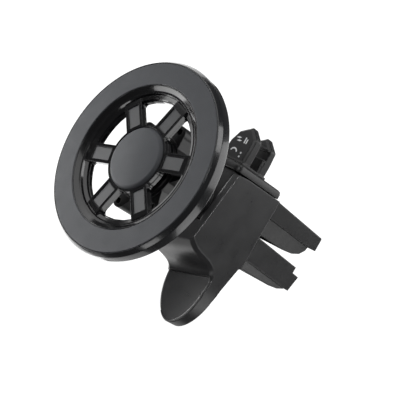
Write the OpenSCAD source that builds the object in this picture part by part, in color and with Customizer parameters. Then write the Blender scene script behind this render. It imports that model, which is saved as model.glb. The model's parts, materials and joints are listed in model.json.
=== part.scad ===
// Magnetic phone mount that clamps on the blade of a car's air vent.
// Millimetres. +Z is up, -Y points at the driver, +Y points into the vent.
// The origin is the root of the slot that takes the vent blade.

/* [Phone ring] */
// Outer diameter of the flat magnetic face
face_od = 58; // [57:0.5:60]
// Inner diameter of the flat magnetic face
face_id = 44; // [43:0.5:44.5]
// Thickness of the ring, from the face to its back
ring_t = 4.8; // [4.6:0.1:5.4]
// Distance from the slot's root to the phone face
face_reach = 54; // [53:0.5:58]
// Number of spokes in the wheel
spokes = 6; // [5:1:7]
// Angle of the first spoke from straight up
spoke_angle = 17; // [0:1:59]

/* [Ball joint] */
// Diameter of the ball
ball_d = 11; // [10.6:0.1:11.2]
// Distance from the slot's root to the ball's centre
ball_reach = 40.5; // [40:0.1:41]
// Diameter of the ball's neck
neck_d = 5; // [4:0.5:5.5]
// Radius of the lock nut over its lobes
nut_tip_r = 15; // [13.5:0.5:16]

/* [Clamp] */
// Width of the clamp over its side walls
clamp_w = 18; // [17:0.5:20]
// Thickness of each side wall
wall_t = 2.4; // [2:0.1:2.6]
// Width of each jaw
jaw_w = 16; // [14:0.5:17]
// Gap for the vent blade at the slot's root
blade_gap = 0.9; // [0.6:0.1:1.2]
// Thickness of the rubber jaw pads
pad_t = 0.8; // [0.6:0.1:1]

/* [Paddle] */
// Height of the paddle's tip below the slot
paddle_drop = 36.5; // [34:0.5:40]

/* [Cable clip] */
// Width of the two clip fingers
finger_w = 10; // [8:0.5:11]
// Height of the fingers above the top cover
finger_h = 11.7; // [10:0.1:13]
// Gap between the fingers
cable_gap = 4.4; // [4.2:0.1:4.6]

/* [Hidden] */
$fn = 96;
eps = 0.02;
fit = 0.05;

// Ring heights are measured forward from the ball's centre.
face_z = face_reach - ball_reach;
ring_back_z = face_z - ring_t;
face_ro = face_od / 2;
face_ri = face_id / 2;
ring_ro = face_ro + 1;
ring_ri = face_ri - 0.1;
bezel = 0.15;
face_t = 0.8;
magnet_ri = face_ri + 1;
magnet_ro = face_ro - 1.05;
channel_z = ring_back_z + 1.2;
shield_t = 0.5;
magnet_count = 18;
magnet_gap_deg = 1;

hub_r = 10.2;
wheel_back_z = 9.4;
hub_seat_z = 11.1;
rim_z = 10.6;
collar_z = 11.9;
spoke_z = 11.9;
spoke_w = 5.2;
spoke_flare = 0.6;
panel_w = 3.8;
panel_t = 0.4;
panel_end_r = 17.4;
window_r = 18.15;
cap_r = 9.55;
cap_edge_r = 1.4;
cap_edge_z = 11.2;
cap_crown_r = 64;
screw_pitch_r = 6.9;

ball_r = ball_d / 2;
seat_t = 0.7;
collet_cavity_r = ball_r + seat_t + 2 * fit;
collet_r = 8.4;
collet_end_r = 7.3;
collet_back_z = -3;
nut_front_z = 6.3;
nut_back_z = -4;
nut_r = 10.4;
lobe_r = 2.6;
lobe_pitch_r = nut_tip_r - lobe_r;
stud_flange_z = -17;

half_w = clamp_w / 2;
cavity_hw = half_w - wall_t;
core_hw = cavity_hw - 0.4;
jaw_hw = jaw_w / 2;
slot_hz = blade_gap / 2;
body_top = 12.2;
cover_top = 14.9;
pivot_y = -17.5;
pivot_z = 8;
pin_r = 1.25;
jaw_tip_y = 27;

// The lever's underside leans across its width.
under_tilt = 15;
under_ref_z = -14.05;
paddle_mid_z = -21;
paddle_front_y = -9.2;

spring_r = 2.5;
wire_r = 0.4;

// ---------------------------------------------------------------- helpers

// Places a shape built along +z so that +z points at the driver,
// with z = 0 at the ball's centre.
module ahead() {
    translate([0, -ball_reach, 0]) rotate([90, 0, 0]) children();
}

// Extrudes an outline drawn in Y and Z to a width across X.
module across(width) {
    rotate([90, 0, 90]) linear_extrude(width, center = true) children();
}

// Extrudes an outline drawn in X and Z from y_from to y_to.
module along(y_from, y_to) {
    translate([0, y_to, 0]) rotate([90, 0, 0])
        linear_extrude(y_to - y_from) children();
}

// A rod along X, centred on a point given in Y and Z.
module cross_rod(r, length, y, z, x = 0) {
    translate([x, y, z]) rotate([0, 90, 0])
        cylinder(r = r, h = length, center = true);
}

module tube(ro, ri, z_from, z_to) {
    translate([0, 0, z_from]) difference() {
        cylinder(r = ro, h = z_to - z_from);
        translate([0, 0, -1]) cylinder(r = ri, h = z_to - z_from + 2);
    }
}

module round_copies(count, first = 0) {
    for (k = [0 : count - 1])
        rotate([0, 0, first + k * 360 / count]) children();
}

// Points of an arc, from one angle to another.
function arc(centre, r, from, to, steps = 8) = [
    for (i = [0 : steps])
        let (a = from + (to - from) * i / steps)
            centre + r * [cos(a), sin(a)]
];

// Polar directions are drawn with local +y up, so the first spoke leans right.
spoke_turn = -spoke_angle;

// ------------------------------------------------------------- phone ring

module face_pad() {
    edge = 0.15;
    gap = 0.03;
    ri = face_ri + bezel + gap;
    ro = face_ro - bezel - gap;
    color([0.33, 0.34, 0.36]) ahead() rotate_extrude() polygon([
        [ri, face_z - face_t],
        [ro, face_z - face_t],
        [ro, face_z - edge],
        [ro - edge, face_z],
        [ri + edge, face_z],
        [ri, face_z - edge]
    ]);
}

module ring_housing() {
    lip_z = face_z - 0.05;
    lip = 0.12;
    floor_z = face_z - face_t;
    bevel_r = face_ro + lip;
    color([0.16, 0.17, 0.18]) ahead() rotate_extrude() polygon([
        [ring_ri, ring_back_z + 0.3],
        [ring_ri + 0.3, ring_back_z],
        [ring_ro - 0.8, ring_back_z],
        [ring_ro - 0.25, ring_back_z + 0.25],
        [ring_ro, ring_back_z + 0.8],
        [ring_ro, face_z - 1.5],
        [ring_ro - 0.12, face_z - 1.2],
        [bevel_r, lip_z],
        [face_ro - bezel, lip_z],
        [face_ro - bezel, floor_z],
        [magnet_ro + 0.1, floor_z],
        [magnet_ro + 0.1, channel_z],
        [magnet_ri - 0.1, channel_z],
        [magnet_ri - 0.1, floor_z],
        [face_ri + bezel, floor_z],
        [face_ri + bezel, lip_z],
        [ring_ri, lip_z]
    ]);
}

module shield_ring() {
    color("silver") ahead()
        tube(magnet_ro, magnet_ri, channel_z, channel_z + shield_t);
}

module magnet_segments() {
    step = 360 / magnet_count;
    low = channel_z + shield_t;
    high = face_z - face_t - 0.05;
    color("gainsboro") ahead() round_copies(magnet_count)
        rotate_extrude(angle = step - magnet_gap_deg)
            translate([magnet_ri, low]) square([magnet_ro - magnet_ri, high - low]);
}

// ------------------------------------------------------------ spoke wheel

module window_outline() {
    corner = 1.1;
    offset(r = corner, $fn = 32) offset(delta = -corner) difference() {
        circle(r = window_r);
        circle(r = hub_r + 0.15);
        round_copies(spokes, spoke_turn)
            translate([-spoke_w / 2, 0]) square([spoke_w, window_r + 1]);
    }
}

module spoke_bar(width, from, to, z_from, z_to) {
    translate([-width / 2, from, z_from])
        cube([width, to - from, z_to - z_from]);
}

module spoke_wheel() {
    wheel_r = ring_ri - fit;
    seat_r = cap_r + 0.1;
    panel_floor = spoke_z - 0.2 - panel_t;
    color([0.08, 0.08, 0.09]) ahead() difference() {
        union() {
            difference() {
                rotate_extrude() polygon([
                    [0, wheel_back_z], [window_r + 0.5, wheel_back_z],
                    [window_r + 0.5, ring_back_z], [wheel_r, ring_back_z],
                    [wheel_r, face_z - 0.15], [wheel_r - 0.85, face_z - 0.75],
                    [wheel_r - 1.25, face_z - 1.1], [wheel_r - 1.9, face_z - 1.2],
                    [wheel_r - 2.25, face_z - 1.9], [wheel_r - 3.25, face_z - 2.2],
                    [window_r + 0.15, rim_z], [hub_r, rim_z], [hub_r, collar_z],
                    [seat_r, collar_z], [seat_r, hub_seat_z], [0, hub_seat_z]
                ]);
                translate([0, 0, wheel_back_z - 1]) linear_extrude(5) window_outline();
            }
            round_copies(spokes, spoke_turn)
                spoke_bar(spoke_w + spoke_flare, seat_r + 0.03, window_r + 1.15,
                    rim_z - 0.3, spoke_z);
        }
        round_copies(spokes, spoke_turn)
            spoke_bar(panel_w + 0.1, hub_r + 0.35, panel_end_r + 0.05,
                panel_floor, spoke_z + 1);
        round_copies(3) translate([screw_pitch_r, 0, 0]) {
            translate([0, 0, wheel_back_z - 1]) cylinder(r = 1, h = 5);
            translate([0, 0, hub_seat_z - 1]) cylinder(r = 1.7, h = 3);
        }
    }
}

module spoke_panels() {
    panel_floor = spoke_z - 0.2 - panel_t;
    color([0.4, 0.41, 0.42]) ahead() round_copies(spokes, spoke_turn)
        spoke_bar(panel_w, hub_r + 0.4, panel_end_r, panel_floor, panel_floor + panel_t);
}

module hub_cap() {
    edge_in_r = cap_r - cap_edge_r;
    lean = asin(edge_in_r / (cap_crown_r - cap_edge_r));
    crown_z = cap_edge_z - (cap_crown_r - cap_edge_r) * cos(lean);
    color([0.3, 0.31, 0.33]) ahead() rotate_extrude() polygon(concat(
        [[0, hub_seat_z], [cap_r, hub_seat_z]],
        arc([edge_in_r, cap_edge_z], cap_edge_r, 0, 90 - lean, 8),
        arc([0, crown_z], cap_crown_r, 90 - 0.75 * lean, 90, 6)
    ));
}

module hub_screws() {
    head_z = hub_seat_z - 1;
    shank_z = 3.4;
    color("dimgray") ahead() round_copies(3) translate([screw_pitch_r, 0, 0]) {
        difference() {
            translate([0, 0, head_z]) cylinder(r = 1.6, h = 0.9);
            translate([0, 0, head_z + 0.4]) cylinder(r = 0.7, h = 1, $fn = 6);
        }
        translate([0, 0, shank_z]) cylinder(r = 0.9, h = head_z - shank_z + eps);
    }
}

// ------------------------------------------------------------- ball joint

module socket_collet() {
    taper_z = -1.2;
    slots = 6;
    slot_w = 1;
    color([0.1, 0.1, 0.11]) ahead() difference() {
        union() {
            translate([0, 0, taper_z]) cylinder(r = collet_r, h = wheel_back_z - taper_z);
            translate([0, 0, collet_back_z])
                cylinder(r1 = collet_end_r, r2 = collet_r, h = taper_z - collet_back_z);
        }
        sphere(r = collet_cavity_r);
        translate([0, 0, collet_back_z - 1]) cylinder(r = 5.5, h = 3);
        round_copies(slots, spoke_turn + 180 / slots)
            translate([-slot_w / 2, 0, collet_back_z - 1]) cube([slot_w, 10, 5]);
        round_copies(3) translate([screw_pitch_r, 0, 3.2]) cylinder(r = 0.9, h = 8);
    }
}

module seat_shell(z_from, z_to) {
    color("whitesmoke") ahead() intersection() {
        difference() {
            sphere(r = ball_r + fit + seat_t);
            sphere(r = ball_r + fit);
        }
        translate([0, 0, z_from]) cylinder(r = 2 * ball_r, h = z_to - z_from);
    }
}

module ball_seat_front() {
    seat_shell(4.3, 2 * ball_r);
}

module ball_seat_rear() {
    seat_shell(-2.6, 1.4);
}

module lobe_outline() {
    root_hw = 4.2;
    hole_r = 0.9;
    hole_pitch_r = 13.2;
    difference() {
        union() {
            translate([0, lobe_pitch_r]) circle(r = lobe_r);
            polygon([
                [-root_hw, 9], [root_hw, 9],
                [lobe_r - 0.05, lobe_pitch_r + 0.3], [-lobe_r + 0.05, lobe_pitch_r + 0.3]
            ]);
        }
        translate([0, hole_pitch_r]) circle(r = hole_r);
    }
}

module lock_nut() {
    lobe_back_z = -1.5;
    lobe_h = nut_front_z - 0.3 - lobe_back_z;
    bore_r = collet_r + fit;
    mouth_r = 6.3;
    collar_r = 9.6;
    collar_z = nut_front_z + 0.9;
    color([0.1, 0.1, 0.11]) ahead() {
        rotate_extrude() polygon([
            [mouth_r, nut_back_z], [nut_r - 1, nut_back_z], [nut_r, nut_back_z + 1],
            [nut_r, nut_front_z], [collar_r, nut_front_z], [collar_r, collar_z],
            [bore_r, collar_z], [bore_r, -1.2], [collet_end_r + fit, -3.3], [mouth_r, -3.3]
        ]);
        round_copies(6, spoke_turn) translate([0, 0, lobe_back_z])
            linear_extrude(lobe_h) lobe_outline();
    }
}

module ball_stud() {
    shank_r = 1.9;
    shank_l = 7.4;
    color([0.12, 0.12, 0.13]) ahead() {
        sphere(r = ball_r);
        translate([0, 0, stud_flange_z]) cylinder(r = neck_d / 2, h = -stud_flange_z);
        translate([0, 0, stud_flange_z + 1.4]) cylinder(r1 = 3.6, r2 = neck_d / 2, h = 1.6);
        translate([0, 0, stud_flange_z]) cylinder(r = 4.6, h = 1.4 + eps);
        translate([0, 0, stud_flange_z - shank_l]) cylinder(r = shank_r, h = shank_l + eps);
    }
}

module stud_nut() {
    thick = 2;
    back = stud_flange_z - 7.3;
    color("silver") ahead() difference() {
        translate([0, 0, back]) rotate([0, 0, 30]) cylinder(r = 3.9, h = thick, $fn = 6);
        translate([0, 0, back - 1]) cylinder(r = 1.9, h = thick + 2);
    }
}

// ------------------------------------------------------------------- jaws

// A jaw is a straight block with a narrower keel under it.
module jaw(block, keel, line_z, end_z) {
    across(jaw_w) polygon(block);
    intersection() {
        across(jaw_w) polygon(keel);
        along(-10, 40) polygon([
            [-jaw_hw + 0.5, line_z + 1.2], [jaw_hw - 0.5, line_z + 1.2],
            [jaw_hw - 0.6, line_z - 0.2], [jaw_hw - 1.8, end_z],
            [-jaw_hw + 1.8, end_z], [-jaw_hw + 0.6, line_z - 0.2]
        ]);
    }
}

module upper_jaw() {
    root_y = 0.5;
    jaw(
        [[root_y, 12], [jaw_tip_y + 0.3, 10.3], [jaw_tip_y + 0.7, 9.9],
         [jaw_tip_y + 0.7, 5.7], [jaw_tip_y - 2.6, 5.4], [root_y, 6.2]],
        [[root_y, 7], [jaw_tip_y - 2.6, 6.2], [jaw_tip_y - 2.6, 4.1],
         [jaw_tip_y - 4, 2.2], [20, 1], [15.5, slot_hz], [root_y, slot_hz]],
        6.2, slot_hz
    );
}

module lower_jaw() {
    root_y = -3;
    jaw(
        [[root_y, -slot_hz], [0.3, -slot_hz], [jaw_tip_y - 3.6, -2], [jaw_tip_y - 3.6, -4],
         [jaw_tip_y - 0.2, -4.3], [jaw_tip_y - 1.5, -9.7], [root_y, -8.2]],
        [[root_y, -7.6], [jaw_tip_y - 2.2, -9.2], [jaw_tip_y - 2.6, -9.9],
         [jaw_tip_y - 5, -10.9], [17.8, -11.4], [root_y, -11.4]],
        -8.2, -11.4
    );
}

// Rubber pad set into the jaw face, with shallow cross ribs.
module jaw_pad(length, width, ribs) {
    rib_step = length / ribs;
    rib_w = rib_step * 0.6;
    color([0.05, 0.05, 0.05]) {
        translate([-width / 2, 0, 0]) cube([width, length, pad_t - 0.2]);
        for (i = [0 : ribs - 1])
            translate([-width / 2, (i + 0.2) * rib_step, 0]) cube([width, rib_w, pad_t]);
    }
}

module upper_pad_place() {
    translate([0, 3, slot_hz + pad_t - 0.1]) mirror([0, 0, 1]) children();
}

module lower_pad_place() {
    slope = atan2(2 - slot_hz, jaw_tip_y - 3.9);
    translate([0, 3, -slot_hz - 0.18]) rotate([-slope, 0, 0])
        translate([0, 0, -pad_t + 0.1]) children();
}

module upper_jaw_pad() {
    upper_pad_place() jaw_pad(11, 10, 7);
}

module lower_jaw_pad() {
    lower_pad_place() jaw_pad(16, 11, 10);
}

// ------------------------------------------------------------- clamp core

module clamp_core() {
    plate_t = 2;
    pocket_hw = core_hw - plate_t;
    boss_r = 5.4;
    boss_front = -ball_reach - stud_flange_z;
    color([0.17, 0.17, 0.17]) difference() {
        union() {
            across(2 * core_hw) polygon([
                [-21.6, body_top], [-23.45, -5.1], [-20.5, -5.1], [-20.5, -4], [-5.2, -4],
                [-4.7, slot_hz], [1, slot_hz], [1, 12], [0.2, body_top]
            ]);
            translate([0, boss_front, 0]) rotate([-90, 0, 0]) cylinder(r = boss_r, h = 5.3);
            upper_jaw();
        }
        // Spring pocket, open underneath, in front of the solid jaw root.
        across(2 * pocket_hw) polygon([
            [-20.5, 11], [-20.5, 6.2], [-19.4, 5.4], [-18.9, 4.7], [-18.2, 4.2],
            [-18.2, -5], [-7, -5], [-7, 11]
        ]);
        cross_rod(pin_r, 2 * half_w, pivot_y, pivot_z);
        translate([0, boss_front - 1, 0]) rotate([-90, 0, 0]) cylinder(r = 1.95, h = 10);
        // Pocket for the upper pad.
        translate([-5.05, 2.95, 0]) cube([10.1, 11.1, slot_hz + pad_t - 0.1]);
        for (x = [-3.8, 3.8]) translate([x, -3.6, 4]) cylinder(r = 0.8, h = 20);
    }
}

// One horizontal layer of the cover, drawn in from its edge.
module cover_layer(inset, top_z) {
    front_r = 2;
    rear_r = 1.4;
    front_y = -23;
    rear_y = -0.4;
    cover_hw = half_w - 0.5;
    gap_z = body_top + 0.2;
    $fn = 32;
    for (side = [-1, 1]) {
        translate([side * (cover_hw - front_r), front_y + front_r, gap_z])
            cylinder(r = front_r - inset, h = top_z - gap_z);
        translate([side * (cover_hw - rear_r), rear_y - rear_r, gap_z])
            cylinder(r = rear_r - inset, h = top_z - gap_z);
    }
}

module top_cover() {
    color([0.12, 0.12, 0.12]) difference() {
        union() {
            hull() {
                cover_layer(0, cover_top - 1.1);
                cover_layer(0.3, cover_top - 0.35);
                cover_layer(1.1, cover_top);
            }
            translate([-core_hw, -21.4, body_top]) cube([2 * core_hw, 20.8, 0.6]);
        }
        for (x = [-3.8, 3.8]) {
            translate([x, -3.6, body_top - 1]) cylinder(r = 1.1, h = 5);
            translate([x, -3.6, cover_top - 1.3]) cylinder(r = 1.9, h = 3);
        }
    }
}

module cover_screws() {
    head_h = 1.1;
    head_z = cover_top - 1.3;
    color("dimgray") for (x = [-3.8, 3.8]) translate([x, -3.6, 0]) {
        translate([0, 0, 6]) cylinder(r = 0.8, h = head_z - 6 + eps);
        difference() {
            translate([0, 0, head_z]) cylinder(r = 1.8, h = head_h);
            for (turn = [0, 90]) rotate([0, 0, turn])
                translate([-1.2, -0.25, head_z + 0.5]) cube([2.4, 0.5, 1]);
        }
    }
}

// --------------------------------------------------------------- cable clip

// A finger is a narrow upright plate with an uneven gable on top.
module finger_outline(inset) {
    hw = finger_w / 2;
    round_r = 0.7;
    tip_z = cover_top + finger_h;
    $fn = 32;
    offset(r = round_r) offset(delta = -inset - round_r) polygon([
        [-hw, cover_top], [hw, cover_top], [hw, tip_z - 2.9],
        [1.3, tip_z + 0.3], [-hw + 2, tip_z - 2.2], [-hw + 0.4, tip_z - 5.7]
    ]);
}

module finger(front_y, thick) {
    edge = 0.7;
    lean = 0.9;
    back_y = front_y + thick;
    difference() {
        hull() {
            along(front_y + edge, back_y) finger_outline(0);
            along(front_y, back_y) finger_outline(edge);
        }
        // The back leans forward to the tip.
        across(2 * finger_w) polygon([
            [back_y, cover_top + 4.5], [back_y + 1, cover_top + 4.5],
            [back_y + 1, cover_top + finger_h + 1], [back_y - lean, cover_top + finger_h + 1]
        ]);
    }
}

module cable_clip() {
    front_y = -19;
    finger_t = 3.4;
    rear_y = front_y + finger_t + cable_gap;
    lip = 0.35;
    rim = 0.4;
    color([0.2, 0.2, 0.2]) {
        finger(front_y, finger_t);
        difference() {
            finger(rear_y, finger_t);
            // Shallow pocket across the rear finger.
            translate([-finger_w, rear_y - 1, cover_top + 5.3])
                cube([2 * finger_w, 1.8, 2.7]);
        }
        cross_rod(lip, finger_w - 2.6, front_y + finger_t - 0.15, cover_top + 6.6);
        cross_rod(lip, finger_w - 2.6, rear_y, cover_top + 8.6);
        translate([-finger_w / 2 - rim, front_y - rim, cover_top])
            cube([finger_w + 2 * rim, 2 * finger_t + cable_gap + 2 * rim, 0.9]);
    }
}

// --------------------------------------------------------------- lever

// Side outline of the walls and the paddle, before the underside is cut.
lever_side = [
    [-21.8, 11.6], [pivot_y + 0.5, 12.1], [-0.3, 12.1], [-0.3, -11.4], [-1.4, -12.2],
    [-3.6, -20.4], [-4.2, -25], [-4.2, -paddle_drop - 1], [-8.2, -paddle_drop - 1],
    [paddle_front_y - 0.05, -24.5], [-25.6, -24.5], [-25.6, -11.7]
];

// Underside and cove on the lever's centre line, from front to rear.
under_line = [
    [-28, -12.7], [-25.6, -14.05], [-23.6, -15.3], [-21.6, -16.2], [-19.5, -16.8],
    [-17.3, -17.2], [-15.8, -17.5], [-14.3, -17.9], [-13.1, -18.3], [-12.1, -18.8],
    [-11.4, -19.2], [-10.8, -19.7], [-10.3, -20.2], [-9.85, -20.8], [-9.5, -21.4],
    [paddle_front_y, -22.1]
];

// Removes what lies below the underside. The cut leans by tilt about a line
// along Y that runs through x, z.
module under_cut(tilt, x, z) {
    translate([x, 0, z]) rotate([0, -tilt, 0]) across(80) polygon(concat(
        [for (p = under_line) [p[0], (p[1] - under_ref_z) * cos(tilt)]],
        [[paddle_front_y, -60], [-28, -60]]
    ));
}

// A facet that carries the underside round into one side wall.
module under_round(side, r, tilt) {
    x = side * (half_w - r);
    z = under_ref_z + x * tan(under_tilt) + r / cos(under_tilt);
    under_cut(tilt, x + r * sin(tilt), z - r * cos(tilt));
}

// Half of a long oval, with straight sides above it.
module paddle_outline(inset) {
    steps = 40;
    power = 2 / 1.9;
    drop = paddle_drop + paddle_mid_z;
    offset(delta = -inset) polygon(concat(
        [[half_w, 13], [-half_w, 13]],
        [for (i = [0 : steps]) let (a = 180 + 180 * i / steps) [
            half_w * sign(cos(a)) * pow(abs(cos(a)), power),
            paddle_mid_z - drop * pow(abs(sin(a)), power)
        ]]
    ));
}

// Thumb recess, hollow across the paddle and open at its left edge.
module thumb_recess() {
    rim = 0.4;
    shift = 0.6;
    depth = 1.4;
    hollow_r = 60;
    top_z = -20.3;
    intersection() {
        along(-15, -6) translate([-shift, 0]) paddle_outline(rim);
        translate([3, paddle_front_y + depth - hollow_r, -50])
            cylinder(r = hollow_r, h = 50, $fn = 192);
        translate([0, 0, top_z]) rotate([0, -under_tilt, 0])
            translate([-20, -30, -30]) cube([40, 40, 30]);
    }
}

module clamp_lever() {
    color([0.17, 0.17, 0.17]) difference() {
        union() {
            difference() {
                intersection() {
                    across(clamp_w + 2) polygon(lever_side);
                    along(-30, 5) paddle_outline(0);
                }
                under_cut(under_tilt, 0, under_ref_z);
                under_round(1, 2.4, 53);
                under_round(-1, 1.6, -37);
            }
            lower_jaw();
        }
        // Channel for the core, open to the top, the front and the rear.
        across(2 * cavity_hw) polygon([
            [-30, 20], [-30, -5.5], [-22.9, -5.5], [-22.9, -10],
            [-3, -10], [-3, -slot_hz], [5, -slot_hz], [5, 20]
        ]);
        thumb_recess();
        cross_rod(pin_r + fit, clamp_w, pivot_y, pivot_z, x = -wall_t / 2);
        cross_rod(2.1, 1.6, pivot_y, pivot_z, x = -half_w);
        // Slot that the spring's leg slides in.
        translate([spring_x[1] - 0.7, -4, -9.4]) cube([1.4, 3.6, 9.4]);
        // Pocket for the lower pad.
        lower_pad_place() translate([-5.55, -0.05, 0]) cube([11.1, 16.1, 3]);
    }
}

module pivot_pin() {
    end_x = half_w - 1.3;
    head_x = -half_w + 0.75;
    color("silver") {
        cross_rod(pin_r, end_x - head_x, pivot_y, pivot_z, x = (end_x + head_x) / 2);
        cross_rod(2, 0.6, pivot_y, pivot_z, x = -half_w + 0.45);
    }
}

module pin_washers() {
    thick = 0.3;
    color("silver") for (side = [-1, 1]) difference() {
        cross_rod(2.3, thick, pivot_y, pivot_z, x = side * (core_hw + thick / 2));
        cross_rod(pin_r, 2, pivot_y, pivot_z, x = side * core_hw);
    }
}

// ------------------------------------------------------------------ spring

spring_x = [0.2, 3.4];
spring_core_end = [-20, 10.5];
spring_lever_end = [-3.1, -8.4];
spring_turns = 3;

function spring_angle(target, side) =
    let (d = target - [pivot_y, pivot_z])
        atan2(d[1], d[0]) + side * acos(spring_r / norm(d));

function spring_path() =
    let (
        from = spring_angle(spring_core_end, 1),
        leave = spring_angle(spring_lever_end, -1),
        to = leave + 360 * (spring_turns + (leave < from ? 1 : 0)),
        steps = 60
    )
    concat(
        [[spring_x[0], spring_core_end[0], spring_core_end[1]]],
        [for (i = [0 : steps]) let (a = from + (to - from) * i / steps) [
            spring_x[0] + (spring_x[1] - spring_x[0]) * i / steps,
            pivot_y + spring_r * cos(a),
            pivot_z + spring_r * sin(a)
        ]],
        [[spring_x[1], spring_lever_end[0], spring_lever_end[1]]]
    );

// A round wire swept along points that never run along X.
module wire(path, r, sides = 8) {
    last = len(path) - 1;
    points = [for (i = [0 : last])
        let (
            t = path[min(i + 1, last)] - path[max(i - 1, 0)],
            n = cross(t, [1, 0, 0]) / norm(cross(t, [1, 0, 0])),
            b = cross(t, n) / norm(cross(t, n))
        )
        for (k = [0 : sides - 1])
            path[i] + r * (cos(360 * k / sides) * n + sin(360 * k / sides) * b)
    ];
    walls = [for (i = [0 : last - 1], k = [0 : sides - 1])
        let (m = (k + 1) % sides)
            [i * sides + k, i * sides + m, (i + 1) * sides + m, (i + 1) * sides + k]
    ];
    ends = [
        [for (k = [0 : sides - 1]) sides - 1 - k],
        [for (k = [0 : sides - 1]) last * sides + k]
    ];
    polyhedron(points, concat(walls, ends));
}

module torsion_spring() {
    color("silver") wire(spring_path(), wire_r);
}

// ---------------------------------------------------------------- assembly

face_pad();
ring_housing();
shield_ring();
magnet_segments();
spoke_wheel();
spoke_panels();
hub_cap();
hub_screws();
socket_collet();
ball_seat_front();
ball_seat_rear();
lock_nut();
ball_stud();
stud_nut();
clamp_core();
upper_jaw_pad();
top_cover();
cover_screws();
cable_clip();
clamp_lever();
lower_jaw_pad();
pivot_pin();
pin_washers();
torsion_spring();
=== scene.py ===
"""Looks, light and camera for the car vent phone mount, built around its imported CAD."""

import json
import math

import bmesh
import bpy
from mathutils import Matrix, Vector


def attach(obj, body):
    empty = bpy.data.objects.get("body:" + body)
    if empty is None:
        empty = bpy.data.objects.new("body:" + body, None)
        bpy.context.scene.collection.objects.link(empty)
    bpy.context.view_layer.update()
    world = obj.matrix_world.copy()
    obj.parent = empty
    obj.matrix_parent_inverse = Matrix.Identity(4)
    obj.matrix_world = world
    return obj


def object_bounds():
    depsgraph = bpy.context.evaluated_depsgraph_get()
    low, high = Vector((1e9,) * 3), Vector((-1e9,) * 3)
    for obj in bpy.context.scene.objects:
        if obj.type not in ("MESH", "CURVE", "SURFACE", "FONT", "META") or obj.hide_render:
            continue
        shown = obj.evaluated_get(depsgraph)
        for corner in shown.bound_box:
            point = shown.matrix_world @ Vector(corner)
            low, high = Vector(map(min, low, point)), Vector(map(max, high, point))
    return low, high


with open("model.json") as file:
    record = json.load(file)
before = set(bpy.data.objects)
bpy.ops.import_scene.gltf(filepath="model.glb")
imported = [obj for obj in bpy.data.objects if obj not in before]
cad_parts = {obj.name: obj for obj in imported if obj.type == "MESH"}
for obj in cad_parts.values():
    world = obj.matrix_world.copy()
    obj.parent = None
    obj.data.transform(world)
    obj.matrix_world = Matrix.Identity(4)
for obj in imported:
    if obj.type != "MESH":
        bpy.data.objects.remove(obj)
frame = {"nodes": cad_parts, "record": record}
cad_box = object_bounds()

MM = 0.001
SCENE = bpy.context.scene

# Edges that turn more than this are rounded or split.
EDGE_ANGLE = math.radians(28)
# Neighbouring faces that turn less than this become one.
FLAT_ANGLE = math.radians(0.3)
WELD_DISTANCE = 1e-6


# ------------------------------------------------------------------ helpers


def linear(level):
    """A display level from 0 to 255 as a linear value."""
    value = level / 255
    return value / 12.92 if value <= 0.04045 else ((value + 0.055) / 1.055) ** 2.4


def colour(levels):
    return (*[linear(level) for level in levels], 1.0)


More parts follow.
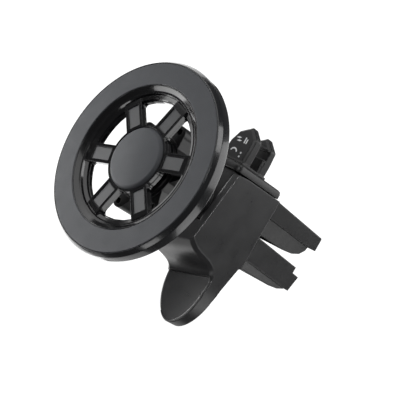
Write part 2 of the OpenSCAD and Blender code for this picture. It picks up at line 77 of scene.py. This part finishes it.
class Surface:
    """One procedural material, built up layer by layer. Lengths are in millimetres."""

    def __init__(self, name, base, roughness, metallic=0.0):
        self.material = bpy.data.materials.new(name)
        self.material.use_nodes = True
        self.nodes = self.material.node_tree.nodes
        self.links = self.material.node_tree.links
        self.shader = self.nodes["Principled BSDF"]
        self.place = self.nodes.new("ShaderNodeTexCoord").outputs["Object"]
        self.shader.inputs["Metallic"].default_value = metallic
        self.colour = None
        self.base = colour(base)
        self.shader.inputs["Base Color"].default_value = self.base
        self.roughness = roughness
        self.shader.inputs["Roughness"].default_value = roughness
        self.rough_parts = []
        self.normal = None

    def set(self, **values):
        for key, value in values.items():
            self.shader.inputs[key.replace("_", " ")].default_value = value
        return self

    def noise(self, size, detail=2.0, roughness=0.5, stretch=None, seed=0.0):
        """Noise of about this grain size; stretch scales the pattern along X, Y and Z."""
        place = self.place
        if stretch or seed:
            mapping = self.nodes.new("ShaderNodeMapping")
            mapping.inputs["Location"].default_value = (seed, seed * 0.7, seed * 0.3)
            mapping.inputs["Scale"].default_value = stretch or (1, 1, 1)
            self.links.new(place, mapping.inputs["Vector"])
            place = mapping.outputs["Vector"]
        node = self.nodes.new("ShaderNodeTexNoise")
        node.inputs["Scale"].default_value = 1 / (size * MM)
        node.inputs["Detail"].default_value = detail
        node.inputs["Roughness"].default_value = roughness
        self.links.new(place, node.inputs["Vector"])
        return node.outputs["Fac"]

    def cells(self, size):
        node = self.nodes.new("ShaderNodeTexVoronoi")
        node.inputs["Scale"].default_value = 1 / (size * MM)
        self.links.new(self.place, node.inputs["Vector"])
        return node.outputs["Distance"]

    def remap(self, value, low, high, to_low=0.0, to_high=1.0):
        node = self.nodes.new("ShaderNodeMapRange")
        node.inputs["From Min"].default_value = low
        node.inputs["From Max"].default_value = high
        node.inputs["To Min"].default_value = to_low
        node.inputs["To Max"].default_value = to_high
        self.links.new(value, node.inputs["Value"])
        return node.outputs["Result"]

    def math(self, operation, a, b):
        node = self.nodes.new("ShaderNodeMath")
        node.operation = operation
        for socket, value in zip(node.inputs, (a, b)):
            if isinstance(value, (int, float)):
                socket.default_value = value
            else:
                self.links.new(value, socket)
        return node.outputs["Value"]

    def tint(self, mask, levels):
        """Mixes a colour in where the mask is 1."""
        node = self.nodes.new("ShaderNodeMix")
        node.data_type = "RGBA"
        self.links.new(mask, node.inputs["Factor"])
        if self.colour is None:
            node.inputs["A"].default_value = self.base
        else:
            self.links.new(self.colour, node.inputs["A"])
        node.inputs["B"].default_value = colour(levels)
        self.colour = node.outputs["Result"]
        return self

    def vary_roughness(self, value, amount):
        """Adds up to plus or minus amount to the roughness."""
        self.rough_parts.append(self.remap(value, 0.3, 0.7, -amount, amount))
        return self

    def bump(self, height, strength, depth):
        node = self.nodes.new("ShaderNodeBump")
        node.inputs["Strength"].default_value = strength
        node.inputs["Distance"].default_value = depth * MM
        self.links.new(height, node.inputs["Height"])
        if self.normal is not None:
            self.links.new(self.normal, node.inputs["Normal"])
        self.normal = node.outputs["Normal"]
        return self

    def rounded(self, radius):
        """Normals that turn over each edge as if it had this radius."""
        bevel = self.nodes.new("ShaderNodeBevel")
        bevel.samples = 6
        bevel.inputs["Radius"].default_value = radius * MM
        return bevel.outputs["Normal"]

    def edges(self, radius):
        """A mask that is 1 on edges sharper than a flat face, within about radius."""
        geometry = self.nodes.new("ShaderNodeNewGeometry")
        dot = self.nodes.new("ShaderNodeVectorMath")
        dot.operation = "DOT_PRODUCT"
        self.links.new(self.rounded(radius), dot.inputs[0])
        self.links.new(geometry.outputs["Normal"], dot.inputs[1])
        return self.remap(dot.outputs["Value"], 0.995, 0.9)

    def done(self):
        if self.colour is not None:
            self.links.new(self.colour, self.shader.inputs["Base Color"])
        if self.rough_parts:
            total = self.roughness
            for part in self.rough_parts:
                total = self.math("ADD", total, part)
            self.links.new(total, self.shader.inputs["Roughness"])
        if self.normal is not None:
            self.links.new(self.normal, self.shader.inputs["Normal"])
        return self.material


# ---------------------------------------------------------------- materials


def moulded(name, base, roughness, grain, relief, light, dark, coat=0.0, turn=0.3):
    """Moulded plastic: spark-eroded grain, flow shading, handling marks and rubbed edges.

    Grain, relief and turn are millimetres: the grain's size and depth, and the radius that
    the material gives to edges. Light and dark are colours that vary the base.
    """
    s = Surface(name, base, roughness)
    flow = s.noise(9, detail=3, roughness=0.6)
    s.tint(s.remap(flow, 0.35, 0.7, 0.0, 0.55), light)
    s.tint(s.remap(s.noise(grain * 2.5, detail=2, seed=3.1), 0.55, 0.75, 0.0, 0.4), dark)
    edge = s.edges(0.22)
    rubbed = s.remap(s.noise(1.4, detail=4, seed=7.3), 0.35, 0.6, 0.15, 1.0)
    worn = s.math("MULTIPLY", edge, rubbed)
    s.tint(s.math("MULTIPLY", worn, 0.35), [min(255, level * 2.1 + 12) for level in light])
    s.vary_roughness(s.noise(0.5, detail=3, seed=1.7), 0.035)
    s.vary_roughness(s.noise(6, detail=4, roughness=0.65, seed=5.9), 0.05)
    s.normal = s.rounded(turn)
    s.bump(s.noise(grain, detail=3, roughness=0.6), 0.35, relief)
    s.bump(s.noise(7, detail=1, seed=2.2), 0.12, 0.05)
    s.set(Specular_IOR_Level=0.5, Coat_Weight=coat, Coat_Roughness=0.08)
    return s.done()


def metal(name, base, roughness, stretch, light, dark):
    """Drawn or plated metal: fine lines along the work, tarnish in dark and edges in light."""
    s = Surface(name, base, roughness, metallic=1.0)
    s.tint(s.remap(s.noise(1.8, detail=4), 0.4, 0.75, 0.0, 0.7), dark)
    s.tint(s.math("MULTIPLY", s.edges(0.12), 0.6), light)
    s.vary_roughness(s.noise(0.15, detail=3, stretch=stretch, seed=4.2), 0.1)
    s.bump(s.noise(0.08, detail=2, stretch=stretch), 0.25, 0.01)
    return s.done()


def build_materials():
    """One material for each material slot of the part, and one for the printed marks."""
    made = {}

    s = Surface("soft_touch_grey", (64, 66, 70), 0.55)
    s.tint(s.remap(s.noise(14, detail=2), 0.3, 0.75, 0.0, 0.6), (72, 74, 78))
    s.tint(s.remap(s.noise(0.14, detail=3, seed=2.4), 0.52, 0.7, 0.0, 0.35), (46, 47, 50))
    s.tint(s.remap(s.cells(1.1), 0.05, 0.02, 0.0, 0.5), (120, 122, 126))
    s.tint(s.math("MULTIPLY", s.edges(0.18), 0.5), (124, 127, 132))
    s.vary_roughness(s.noise(4, detail=4, seed=8.1), 0.06)
    s.bump(s.noise(0.09, detail=3, roughness=0.7), 0.4, 0.012)
    s.set(Specular_IOR_Level=0.35, Sheen_Weight=0.12, Sheen_Roughness=0.4)
    made["soft_touch_grey"] = s.done()

    made["gloss_charcoal"] = moulded(
        "gloss_charcoal", (30, 31, 33), 0.22, 0.25, 0.004, (36, 37, 40), (24, 25, 27), coat=0.5)
    made["gloss_black"] = moulded(
        "gloss_black", (14, 14, 16), 0.16, 0.3, 0.003, (20, 20, 23), (10, 10, 11), coat=0.6)
    made["satin_grey"] = moulded(
        "satin_grey", (62, 63, 65), 0.42, 0.11, 0.012, (70, 71, 73), (50, 51, 52))
    made["tough_black"] = moulded(
        "tough_black", (20, 20, 21), 0.38, 0.16, 0.012, (27, 27, 29), (13, 13, 14))
    made["charcoal_plastic"] = moulded(
        "charcoal_plastic", (27, 27, 28), 0.34, 0.16, 0.012, (32, 32, 33), (20, 20, 21),
        turn=0.55)

    s = Surface("black_rubber", (22, 22, 22), 0.78)
    s.tint(s.remap(s.noise(2.5, detail=4), 0.45, 0.75, 0.0, 0.5), (44, 43, 42))
    s.tint(s.math("MULTIPLY", s.edges(0.2), 0.4), (70, 69, 67))
    s.vary_roughness(s.noise(0.6, detail=3), 0.08)
    s.bump(s.noise(0.12, detail=4, roughness=0.7), 0.5, 0.02)
    made["black_rubber"] = s.done()

    s = Surface("white_nylon", (222, 221, 214), 0.42)
    s.tint(s.remap(s.noise(3, detail=3), 0.4, 0.75, 0.0, 0.6), (204, 201, 190))
    s.vary_roughness(s.noise(0.7, detail=3), 0.08)
    s.bump(s.noise(0.2, detail=3), 0.3, 0.01)
    s.set(Subsurface_Weight=0.1, Subsurface_Scale=0.6 * MM)
    made["white_nylon"] = s.done()

    made["plated_steel"] = metal(
        "plated_steel", (196, 197, 198), 0.26, (0.1, 1, 1), (235, 236, 238), (150, 151, 155))
    made["dark_screw"] = metal(
        "dark_screw", (62, 61, 62), 0.34, (1, 1, 0.2), (128, 127, 128), (40, 39, 40))
    made["spring_steel"] = metal(
        "spring_steel", (176, 176, 178), 0.3, (0.3, 1, 1), (226, 226, 228), (120, 118, 118))
    made["nickel_magnet"] = metal(
        "nickel_magnet", (206, 202, 194), 0.18, (1, 0.4, 1), (238, 236, 230), (168, 164, 156))

    s = Surface("print_white", (232, 233, 234), 0.5)
    s.tint(s.remap(s.noise(0.35, detail=4), 0.55, 0.8, 0.0, 0.45), (150, 151, 153))
    s.vary_roughness(s.noise(0.5, detail=2), 0.08)
    s.bump(s.noise(0.15, detail=3), 0.2, 0.005)
    made["print_white"] = s.done()
    return made


MATERIALS = build_materials()


# Radius of the outer edges, in millimetres. The lever's own edges are split instead, because a
# bevel folds over itself at the tip of the paddle, and its material rounds them.
EDGE_RADIUS = {
    "face_pad": 0.05, "ring_housing": 0.1, "spoke_wheel": 0.12, "spoke_panels": 0.05,
    "hub_cap": 0.08, "lock_nut": 0.3, "socket_collet": 0.1, "clamp_core": 0.3,
    "top_cover": 0.15, "cable_clip": 0.25, "clamp_lever": 0, "cover_screws": 0.08,
    "stud_nut": 0.15, "pivot_pin": 0.1, "ball_stud": 0.15,
}


def round_edges(obj, radius):
    weld = obj.modifiers.new("weld", "WELD")
    weld.merge_threshold = WELD_DISTANCE
    flat = obj.modifiers.new("flat", "DECIMATE")
    flat.decimate_type = "DISSOLVE"
    flat.angle_limit = FLAT_ANGLE
    if radius:
        bevel = obj.modifiers.new("edge", "BEVEL")
        bevel.width = radius * MM
        bevel.segments = 3
        bevel.limit_method = "ANGLE"
        bevel.angle_limit = EDGE_ANGLE
    else:
        split = obj.modifiers.new("edge", "EDGE_SPLIT")
        split.split_angle = EDGE_ANGLE
    shading = obj.modifiers.new("shading", "WEIGHTED_NORMAL")
    shading.mode = "FACE_AREA_WITH_ANGLE"
    shading.keep_sharp = False


def dress_cad():
    """Gives each CAD node its material and rounds its edges."""
    finish = {part["node"]: part["material_slot"] for part in frame["record"]["subparts"]}
    for name, obj in frame["nodes"].items():
        for slot in obj.material_slots:
            slot.material = MATERIALS[finish[name]]
        if name in EDGE_RADIUS:
            round_edges(obj, EDGE_RADIUS[name])


dress_cad()


# ------------------------------------------------------------- printed marks


def flat_piece(name, outlines, y, thickness, body, material):
    """Thin plates from outlines in X and Z, facing the driver at y."""
    mesh = bmesh.new()
    for outline in outlines:
        front = [mesh.verts.new((x * MM, (y - thickness) * MM, z * MM)) for x, z in outline]
        back = [mesh.verts.new((x * MM, y * MM, z * MM)) for x, z in outline]
        mesh.faces.new(front)
        mesh.faces.new(back[::-1])
        count = len(outline)
        for i in range(count):
            k = (i + 1) % count
            mesh.faces.new((front[k], front[i], back[i], back[k]))
    bmesh.ops.recalc_face_normals(mesh, faces=mesh.faces)
    data = bpy.data.meshes.new(name)
    mesh.to_mesh(data)
    mesh.free()
    obj = bpy.data.objects.new(name, data)
    SCENE.collection.objects.link(obj)
    data.materials.append(material)
    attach(obj, body)
    return obj


def disc(x, z, r, count=20):
    """A circle as a polygon."""
    step = 2 * math.pi / count
    return [(x + r * math.cos(i * step), z + r * math.sin(i * step)) for i in range(count)]


def band(x, z, r, width, start, end, count=18):
    """An arc of constant width, in degrees."""
    outer, inner = [], []
    for i in range(count + 1):
        a = math.radians(start + (end - start) * i / count)
        outer.append((x + (r + width / 2) * math.cos(a), z + (r + width / 2) * math.sin(a)))
        inner.append((x + (r - width / 2) * math.cos(a), z + (r - width / 2) * math.sin(a)))
    return outer + inner[::-1]


def bar(x, z, width, height, lean=0.0):
    """An upright bar whose top is moved by lean to one side and its foot to the other."""
    w, h = width / 2, height / 2
    return [
        (x - w - lean, z - h), (x + w - lean, z - h),
        (x + w + lean, z + h), (x - w + lean, z + h),
    ]


def clip_marks():
    """A generic pictogram on the front finger: bars, an arc and two dots."""
    finger_front_y = -19.0
    ink = 0.03
    marks = [
        bar(-1.5, 22.4, 1.3, 0.5, lean=0.35),
        bar(-0.9, 21.5, 1.3, 0.5, lean=0.35),
        bar(1.3, 22.2, 0.45, 1.9),
        bar(2.1, 22.0, 0.45, 1.5),
        band(-0.9, 17.6, 1.25, 0.45, 15, 165),
        disc(2.2, 18.2, 0.32),
        disc(2.2, 17.0, 0.32),
    ]
    flat_piece("clip_marks", marks, finger_front_y, ink, "clamp",
               MATERIALS["print_white"])


clip_marks()


# --------------------------------------------------------------------- stage


FLOOR_DROP = 0.12  # the floor's distance below the part, in metres
FLOOR_RADIUS = 9

# Places in the part that lights look at.
MIDDLE = (0, -0.03, 0)
LOW = (0, -0.03, -0.02)
WALL = (0.009, -0.012, 0.012)
FACE = (0, -0.054, 0)

# Softboxes: name, direction from the target, distance, width and height, power, target.
SOFTBOXES = [
    ("key", (-0.25, -0.75, 0.75), 0.65, (0.9, 0.9), 2.8, MIDDLE),
    ("front", (0.7, -0.66, 0.28), 0.7, (0.12, 0.12), 0.5, MIDDLE),
    ("left", (-0.98, -0.15, 0.05), 0.7, (0.4, 0.45), 0.8, MIDDLE),
    ("upper_right", (0.59, -0.14, 0.79), 0.7, (0.3, 0.3), 1.0, MIDDLE),
    ("behind_left", (-0.86, 0.56, 0.05), 0.8, (0.4, 2.2), 4.5, MIDDLE),
    ("wall", (0.62, 0.6, 0.42), 0.45, (0.5, 0.3), 0.85, WALL),
    ("right_low", (0.64, 0.7, -0.36), 0.6, (0.35, 0.25), 0.5, MIDDLE),
    ("below", (-0.38, 0.55, -0.74), 0.8, (0.7, 0.7), 1.0, MIDDLE),
    ("below_right", (0.43, -0.17, -0.89), 0.8, (0.25, 0.25), 0.5, MIDDLE),
    ("low_left", (-0.8, -0.45, -0.4), 0.3, (0.2, 0.2), 0.35, LOW),
    ("rear", (-0.1, 0.95, 0.3), 0.8, (0.5, 0.5), 1.2, MIDDLE),
    ("edge", (0.7, -0.68, 0.18), 0.7, (0.15, 0.15), 4.5, MIDDLE),
    ("lip", (-1.0, 0.02, -0.02), 0.7, (0.3, 0.4), 2.4, MIDDLE),
    ("near_left", (-0.92, -0.34, -0.2), 0.16, (0.12, 0.12), 0.16, FACE),
]

# Softboxes that light only these nodes.
LIT_BY = {
    "edge": ["clamp_lever"],
    "lip": ["clamp_lever"],
    "near_left": ["face_pad", "hub_cap", "spoke_panels"],
}


def camera():
    """The camera of a product view: front right, level with the jaws and rolled."""
    place = Vector((265.17, -295.38, -19.98)) * MM
    right = Vector((0.6398, 0.5836, 0.5001))
    up = Vector((-0.3282, -0.3809, 0.8644))
    turn = Matrix((right, up, right.cross(up))).transposed().to_4x4()
    data = bpy.data.cameras.new("camera")
    data.sensor_width = 36
    data.lens = 115.65
    data.clip_start = 0.01
    data.clip_end = 20
    obj = bpy.data.objects.new("camera", data)
    obj.matrix_world = Matrix.Translation(place) @ turn
    SCENE.collection.objects.link(obj)
    SCENE.camera = obj


def light_only(light, objects):
    """Limits a light to a few objects."""
    lit = bpy.data.collections.new(light.name + "_only")
    for obj in objects:
        lit.objects.link(obj)
    light.light_linking.receiver_collection = lit


def soft_light(name, direction, distance, size, power, target):
    """A softbox that looks at the target from a direction and isn't seen itself."""
    data = bpy.data.lights.new(name, "AREA")
    data.shape = "RECTANGLE"
    data.size, data.size_y = size
    data.energy = power
    obj = bpy.data.objects.new(name, data)
    way = Vector(direction).normalized()
    obj.location = Vector(target) + way * distance
    obj.rotation_euler = way.to_track_quat("Z", "Y").to_euler()
    obj.visible_camera = False
    SCENE.collection.objects.link(obj)
    if name in LIT_BY:
        light_only(obj, [frame["nodes"][node] for node in LIT_BY[name]])


def floor():
    """A wide pale floor, lit evenly by its own sun. It adds no light to the part."""
    floor_z = cad_box[0][2] - FLOOR_DROP
    bpy.ops.mesh.primitive_circle_add(
        vertices=96, radius=FLOOR_RADIUS, fill_type="NGON", location=(0, 0, floor_z))
    sheet = bpy.context.object
    sheet.name = "floor"
    paper = Surface("paper", (250, 250, 250), 0.9)
    paper.tint(paper.remap(paper.noise(40, detail=3), 0.4, 0.7, 0.0, 0.4), (246, 246, 246))
    sheet.data.materials.append(paper.done())
    sheet.visible_diffuse = False
    sheet.visible_glossy = False
    sheet.visible_shadow = False

    data = bpy.data.lights.new("floor_light", "SUN")
    data.energy = 3.4
    data.angle = math.radians(60)
    sun = bpy.data.objects.new("floor_light", data)
    SCENE.collection.objects.link(sun)
    light_only(sun, [sheet])


def surroundings(lit_strength, seen_strength):
    """A white world that lights the part dimly and is seen at another strength."""
    world = bpy.data.worlds.new("studio")
    world.use_nodes = True
    tree = world.node_tree
    lit = tree.nodes["Background"]
    lit.inputs["Color"].default_value = (1, 1, 1, 1)
    lit.inputs["Strength"].default_value = lit_strength
    seen = tree.nodes.new("ShaderNodeBackground")
    seen.inputs["Color"].default_value = (1, 1, 1, 1)
    seen.inputs["Strength"].default_value = seen_strength
    path = tree.nodes.new("ShaderNodeLightPath")
    mix = tree.nodes.new("ShaderNodeMixShader")
    tree.links.new(path.outputs["Is Camera Ray"], mix.inputs["Fac"])
    tree.links.new(lit.outputs["Background"], mix.inputs[1])
    tree.links.new(seen.outputs["Background"], mix.inputs[2])
    tree.links.new(mix.outputs["Shader"], tree.nodes["World Output"].inputs["Surface"])
    SCENE.world = world


floor()
camera()
surroundings(lit_strength=0.07, seen_strength=1.2)
for softbox in SOFTBOXES:
    soft_light(*softbox)
SCENE.view_settings.view_transform = "Standard"
